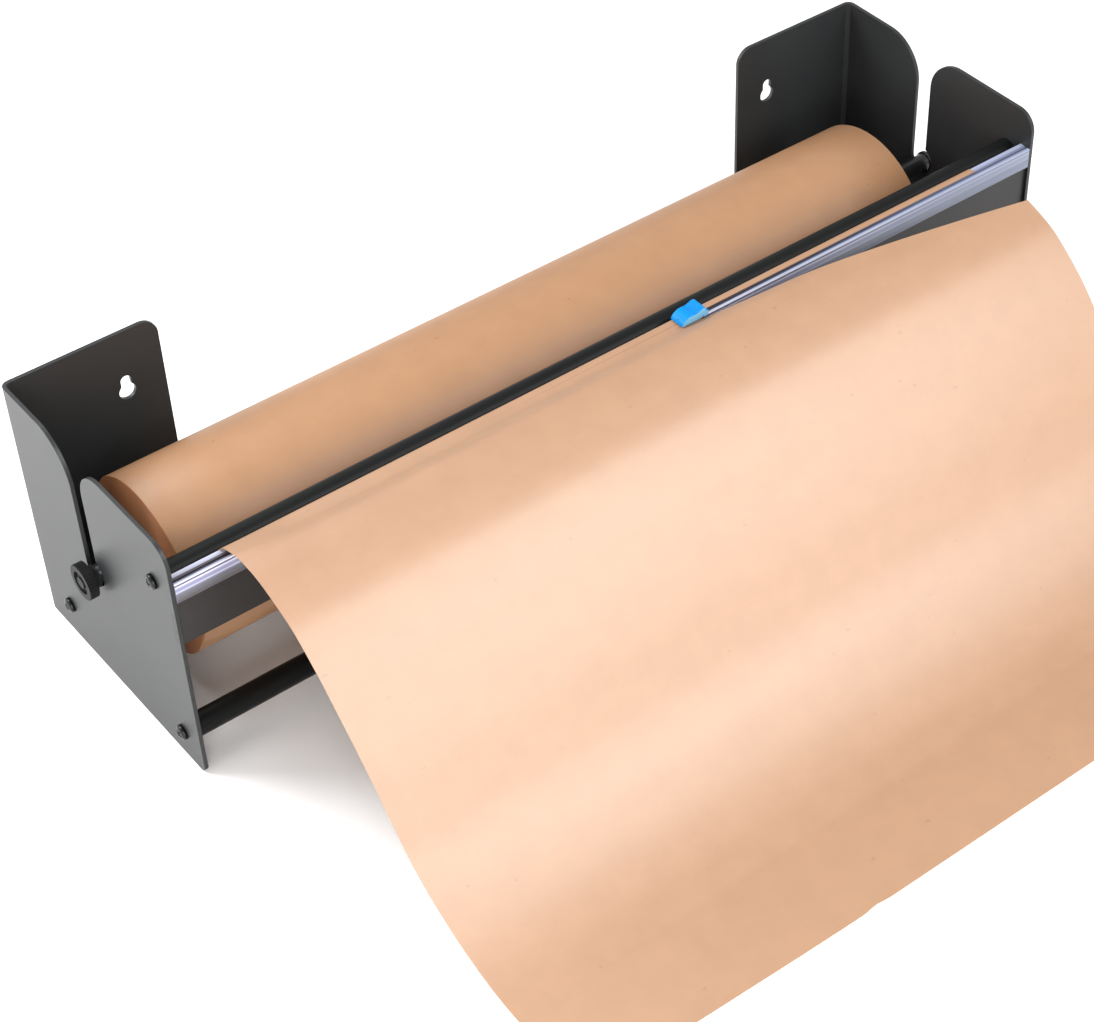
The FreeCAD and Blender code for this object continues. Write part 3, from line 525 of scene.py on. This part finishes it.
def edgeLift(x, depth, look):
    away = (x - look["left"]) / look["liftWidth"]
    return between(depth, look["lift"]) * math.exp(-away ** 2)


def lengthAlong(points):
    return np.concatenate([[0], np.cumsum(np.linalg.norm(np.diff(points, axis=0), axis=1))])


def paperGrid(columns, rows, place):
    # place turns shares of the width and of the length, from 0 to 1, into a point
    shape = bmesh.new()
    bmesh.ops.create_grid(shape, x_segments=columns, y_segments=rows, size=0.5)
    for vert in shape.verts:
        vert.co = place(vert.co.x + 0.5, vert.co.y + 0.5)
    for edge in shape.edges:
        edge.smooth = not edge.is_boundary
    return shape


# the sheet

sheetLook = {
    "start": 144.6, "crest": (163.0, 128.4), "landing": 352.4, "end": 403.0, "rows": 170,
    "curveSteps": 24,
    # where the blade has cut the sheet beyond the parting, and where its free end lies
    "cut": [(35.5, 148.5), (paperRight, 180.0)],
    "freeEnd": [(paperLook["left"], 398.9), (-170, 400.5), (-120, 401.9), (-90, 402.5),
                (-80, 402.6), (-73, 401.6), (-66, 402.5), (0, 402.8), (60, 403.0),
                (paperRight, 403.0)],
    # the right part stands a little fuller, and the slope ripples
    "fuller": {"push": 5.0, "depth": 225, "spread": 55, "fromShare": 0.25},
    "ripple": {"height": 0.5, "across": 9, "along": 40, "from": 170, "fade": 60, "low": 2,
               "rise": 20},
}
riseShares = [(0.0, 0.0), (0.12, 0.008), (0.25, 0.07), (0.48, 0.46), (0.73, 0.88)]
fallShares = [
    (0.0, 1.0), (0.05, 0.992), (0.105, 0.968), (0.177, 0.922), (0.234, 0.862), (0.3, 0.776),
    (0.354, 0.692), (0.41, 0.604), (0.475, 0.494), (0.539, 0.377), (0.6, 0.272),
    (0.665, 0.187), (0.74, 0.118), (0.82, 0.062), (0.91, 0.02), (1.0, 0.0),
]
flatShares = (0.1, 0.25, 0.5, 0.75, 1.0)


def smoothThrough(points, steps):
    # a rounded line that runs through every point
    points = np.array(points, float)
    padded = np.vstack([2 * points[0] - points[1], points, 2 * points[-1] - points[-2]])
    line = []
    for a, b, c, d in zip(padded, padded[1:], padded[2:], padded[3:]):
        for t in np.arange(steps) / steps:
            line.append(0.5 * (2 * b + (c - a) * t + (2 * a - 5 * b + 4 * c - d) * t * t
                               + (3 * b - a - 3 * c + d) * t ** 3))
    line.append(points[-1])
    return np.array(line)


def sheetLine(look, paper):
    # up to the crest, down the slope and out flat on the table
    crestDepth, crestHeight = look["crest"]
    start, landing, lay, half = look["start"], look["landing"], paper["lay"], paper["gauge"] / 2
    points = [(paper["slot"], lay)]
    points += [(start + (crestDepth - start) * s, lay + (crestHeight - lay) * h)
               for s, h in riseShares]
    points += [(crestDepth + (landing - crestDepth) * s, half + (crestHeight - half) * h)
               for s, h in fallShares]
    points += [(landing + (look["end"] - landing) * s, half) for s in flatShares]
    return smoothThrough(points, look["curveSteps"])


def ramped(value, low, span):
    return min(1, max(0, (value - low) / span))


def makeSheet(look, paper):
    line = sheetLine(look, paper)
    along = lengthAlong(line)
    landing, fuller, ripple = look["landing"], look["fuller"], look["ripple"]
    cut = [(x, paper["slot"] + gap) for x, gap in paper["parting"]] + look["cut"]

    def place(u, v):
        x = between(u, columnShares)
        first = np.interp(between(x, cut), line[:, 0], along)
        reach = first + (along[-1] - first) * v
        depth = np.interp(reach, along, line[:, 0])
        height = np.interp(reach, along, line[:, 1]) + edgeLift(x, depth, paper)
        if depth > landing:
            end = between(x, look["freeEnd"])
            depth = landing + (depth - landing) * (end - landing) / (look["end"] - landing)
        share = (x - paper["left"]) / paper["width"]
        swell = fuller["push"] * math.exp(-((depth - fuller["depth"]) / fuller["spread"]) ** 2)
        depth += swell * (share - fuller["fromShare"])
        wave = ripple["height"] * math.sin(ripple["across"] * share + depth / ripple["along"])
        fade = ramped(depth, ripple["from"], ripple["fade"])
        height += wave * fade * ramped(height, ripple["low"], ripple["rise"])
        return at(x, depth, max(height, paper["gauge"] / 2))

    piece = finishPiece("kraft_sheet", paperGrid(paper["columns"], look["rows"], place),
                        "sheetKraft", "frame")
    thicken(piece, paper["gauge"] * mm)
    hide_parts("paper_sheet")
    # the flat sheet is a rectangle, less the cut and the free end's slant
    gone = np.trapz([b - paper["slot"] for a, b in cut], [a for a, b in cut])
    gone += np.trapz([look["end"] - b for a, b in look["freeEnd"]],
                     [a for a, b in look["freeEnd"]])


makeSheet(sheetLook, paperLook)
print("sheet laid over the track")


# the web from the roll to the track

webLook = {
    # how far the roll's paper lies to the left of the sheet
    "drift": 2.8, "rollReach": 47.5, "guideReach": 6.6, "rows": 90,
    "lip": {"depth": 138.9, "clear": 0.25, "bend": 1.2, "endShare": 1.6, "middleShare": 0.35},
}


def webLine(look, paper):
    # a straight run that touches the roll and the guide tube, and a small bend at the lip
    rollDepth, rollHeight = shared["rollAxis"]
    guideDepth, guideHeight = shared["guideAxis"]
    apart = math.dist((rollDepth, rollHeight), (guideDepth, guideHeight))
    bearing = math.atan2(guideHeight - rollHeight, guideDepth - rollDepth)
    lean = bearing - math.acos((look["rollReach"] - look["guideReach"]) / apart)
    points = [(depth + reach * math.cos(lean), height + reach * math.sin(lean))
              for depth, height, reach in ((rollDepth, rollHeight, look["rollReach"]),
                                           (guideDepth, guideHeight, look["guideReach"]))]
    lip, top = look["lip"], paper["lay"]
    full, part = lip["bend"] * lip["endShare"], lip["bend"] * lip["middleShare"]
    points += [(lip["depth"] - lip["clear"], top - full), (lip["depth"] + part, top - part),
               (lip["depth"] + full, top), (paper["slot"], top)]
    return np.array(points)


def makeWeb(look, paper):
    points = webLine(look, paper)
    along = lengthAlong(points)

    def place(u, v):
        x = between(u, columnShares)
        reach = (along[-1] - between(x, paper["parting"])) * v
        depth = np.interp(reach, along, points[:, 0])
        height = np.interp(reach, along, points[:, 1]) + edgeLift(x, depth, paper)
        return at(x - look["drift"] * (1 - v), depth, height)

    piece = finishPiece("kraft_web", paperGrid(paper["columns"], look["rows"], place),
                        "sheetKraft", "frame")
    thicken(piece, paper["gauge"] * mm)
    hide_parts("paper_web")


makeWeb(webLook, paperLook)
print("web drawn off the roll")


# the wound roll

rollLook = {
    "left": paperLook["left"] - webLook["drift"], "width": paperLook["width"],
    "outer": 46.9, "bore": 17.1, "rim": 0.25, "laps": 60, "step": 0.03, "seed": 7,
    "along": 12, "around": 160, "weld": 1e-6, "flatFacing": 0.9,
}


def rollEnd(look, x, inward, rng):
    # each lap stands in from the end by a hair of its own
    radii = np.linspace(look["bore"], look["outer"], look["laps"] + 1)
    profile = []
    for lapInner, lapOuter in zip(radii, radii[1:]):
        lapX = x + inward * look["step"] * rng.random()
        profile += [(lapX, lapInner), (lapX, lapOuter)]
    return profile


def makeRoll(look):
    rng = np.random.default_rng(look["seed"])
    depth, height = shared["rollAxis"]
    outer, rim = look["outer"], look["rim"]
    left = rollEnd(look, look["left"], 1, rng)
    right = rollEnd(look, look["left"] + look["width"], -1, rng)
    leftX, rightX = left[-1][0], right[-1][0]
    profile = left[:-1] + [(leftX, outer - rim)]
    profile += [(x, outer) for x in np.linspace(leftX + rim, rightX - rim, look["along"])]
    profile += [(rightX, outer - rim)] + right[:-1][::-1]
    shape = bmesh.new()
    chain = [shape.verts.new(at(x, depth + radius, height)) for x, radius in profile]
    edges = [shape.edges.new(pair) for pair in zip(chain, chain[1:] + chain[:1])]
    bmesh.ops.spin(shape, geom=chain + edges, cent=at(0, depth, height), axis=(1, 0, 0),
                   angle=2 * math.pi, steps=look["around"], use_merge=True)
    bmesh.ops.remove_doubles(shape, verts=shape.verts, dist=look["weld"])
    piece = finishPiece("wound_roll", shape, "rollKraft", "roll")
    for face in piece.data.polygons:
        face.use_smooth = abs(face.normal.x) < look["flatFacing"]
    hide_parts("paper_roll")


makeRoll(rollLook)
print("roll wound")


# screws with a cross recess

screwLook = {
    "radius": 3.9, "height": 2.5, "cells": 14, "domeDrop": 0.42, "domePower": 3.2,
    "recessHalfShare": 0.18, "recessReachShare": 0.56, "recessDeep": 1.1, "recessTaper": 0.86,
    "shank": 2.0, "shankLength": 14.0, "shankTipShare": 0.2, "seat": 263.0,
    "places": {"guide": shared["guideAxis"], "front": (130.4, 15.6), "rear": (26.7, 19.3)},
    "turns": (0.3, 1.1, -0.4, 0.7, 0.15, -0.9),
}


def newVerts(result):
    return [part for part in result["geom"] if isinstance(part, bmesh.types.BMVert)]


def screwHead(look):
    # a square grid rounded to a disc, so that a cross of its faces can be pressed in
    shape = bmesh.new()
    bmesh.ops.create_grid(shape, x_segments=look["cells"], y_segments=look["cells"], size=1.0)
    cross = []
    for face in shape.faces:
        middle = face.calc_center_median()
        near, far = sorted((abs(middle.x), abs(middle.y)))
        if near < look["recessHalfShare"] and far < look["recessReachShare"]:
            cross.append(face)
    rim = [edge for edge in shape.edges if edge.is_boundary]
    for vert in shape.verts:
        x, y = vert.co.x, vert.co.y
        vert.co.x = x * math.sqrt(1 - y * y / 2)
        vert.co.y = y * math.sqrt(1 - x * x / 2)
        vert.co *= look["radius"]
        away = min(1.0, vert.co.xy.length / look["radius"])
        vert.co.z = look["height"] * (1 - look["domeDrop"] * away ** look["domePower"])
    pressed = newVerts(bmesh.ops.extrude_face_region(shape, geom=cross))
    bmesh.ops.delete(shape, geom=cross, context="FACES_ONLY")
    for vert in pressed:
        vert.co.z -= look["recessDeep"]
        vert.co.x *= look["recessTaper"]
        vert.co.y *= look["recessTaper"]
    for vert in newVerts(bmesh.ops.extrude_edge_only(shape, edges=rim)):
        vert.co.z = 0.0
    return shape


def makeScrew(name, side, depth, height, turn, look):
    shape = screwHead(look)
    lower = [edge for edge in shape.edges if edge.is_boundary]
    for reach, radius in ((0.0, look["shank"]), (-look["shankLength"], look["shank"]),
                          (-look["shankLength"], look["shank"] * look["shankTipShare"])):
        grown = bmesh.ops.extrude_edge_only(shape, edges=lower)
        verts = newVerts(grown)
        lower = [part for part in grown["geom"] if isinstance(part, bmesh.types.BMEdge)
                 and all(vert in verts for vert in part.verts)]
        for vert in verts:
            flat = vert.co.xy.normalized() * radius
            vert.co = (flat.x, flat.y, reach)
    bmesh.ops.holes_fill(shape, edges=lower, sides=0)
    bmesh.ops.scale(shape, vec=(mm, mm, mm), verts=shape.verts)
    spinAbout = Matrix.Rotation(turn, 4, "Z")
    stand = Matrix.Rotation(math.radians(90 * side), 4, "Y")
    place = Matrix.Translation(at(look["seat"] * side, depth, height))
    bmesh.ops.transform(shape, matrix=place @ stand @ spinAbout, verts=shape.verts)
    piece = finishPiece(name + "_crosshead", shape, "screwOxide", "frame")
    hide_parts(name)


turns = iter(screwLook["turns"])
for barName, (depth, height) in screwLook["places"].items():
    for sideName, side in (("left", -1), ("right", 1)):
        makeScrew(f"{barName}_screw_{sideName}", side, depth, height, next(turns), screwLook)
print("screws driven in")


# CAD nodes that keep their shape and get a finish

nodeFinishes = {
    "left_bracket": "bracketCoat", "right_bracket": "bracketCoat", "guide_rod": "barCoat",
    "lower_front_bar": "barCoat", "lower_rear_bar": "barCoat", "front_panel": "panelCoat",
    "track_tape": "clearTape", "cutter_track": "clearTrack", "roll_shaft": "shaftSteel",
    "left_knob": "knobPlastic", "left_knob_insert": "insertBrass", "roll_core": "coreBoard",
    "slider_body": "sliderPlastic", "slider_runner": "runnerPlastic",
    "cutter_blade": "bladeSteel",
}
for sideName in ("left", "right"):
    for barName in ("guide", "front", "rear"):
        nodeFinishes[f"{barName}_plug_{sideName}"] = "plugPlastic"

for nodeName, finishName in nodeFinishes.items():
    slots = nodes[nodeName].material_slots
    if slots:
        for oneSlot in slots:
            oneSlot.material = finishes[finishName]
    else:
        nodes[nodeName].data.materials.append(finishes[finishName])
print("finishes put on", len(nodeFinishes), "CAD nodes")


# floor and light

studio = {
    "floor": {"color": (0.96, 0.96, 0.96), "roughness": 0.6}, "floorSize": 6.0,
    "floorCells": 8, "world": 0.70,
    "lamps": {
        "leftFront": {"place": (-0.9, -1.45, 0.42), "aim": (-0.1, -0.15, -0.05), "size": 1.0,
                      "power": 22.0},
        "highFront": {"place": (0.42, -1.15, 0.93), "aim": (0, -0.24, -0.04), "size": 1.1,
                      "power": 17.0},
        "highBack": {"place": (-0.3, 0.5, 0.95), "aim": (-0.15, -0.2, 0), "size": 0.7,
                     "power": 5.0},
        "leftBack": {"place": (-0.7, 0.45, 0.5), "aim": (-0.45, 0.1, -0.1), "size": 0.5,
                     "power": 8.5},
    },
}


def makeFloor(look):
    material = newFinish("paleFloor", look["floor"])[0]
    shape = bmesh.new()
    bmesh.ops.create_grid(shape, x_segments=look["floorCells"], y_segments=look["floorCells"],
                          size=look["floorSize"])
    bmesh.ops.translate(shape, vec=at(0, 0, 0), verts=shape.verts)
    mesh = bpy.data.meshes.new("studio_floor")
    shape.to_mesh(mesh)
    shape.free()
    mesh.materials.append(material)
    floor = bpy.data.objects.new("studio_floor", mesh)
    bpy.context.scene.collection.objects.link(floor)


def makeLight(look):
    world = bpy.data.worlds.new("studioWorld")
    world.use_nodes = True
    sky = world.node_tree.nodes["Background"]
    sky.inputs["Color"].default_value = (1, 1, 1, 1)
    sky.inputs["Strength"].default_value = look["world"]
    bpy.context.scene.world = world
    for name, lamp in look["lamps"].items():
        data = bpy.data.lights.new(name, "AREA")
        data.shape = "DISK"
        data.size = lamp["size"]
        data.energy = lamp["power"]
        light = bpy.data.objects.new(name, data)
        bpy.context.scene.collection.objects.link(light)
        light.location = lamp["place"]
        aim = Vector(lamp["aim"]) - Vector(lamp["place"])
        light.rotation_euler = aim.to_track_quat("-Z", "Y").to_euler()
    bpy.context.scene.view_settings.view_transform = "Standard"


makeFloor(studio)
makeLight(studio)
print("studio lit")
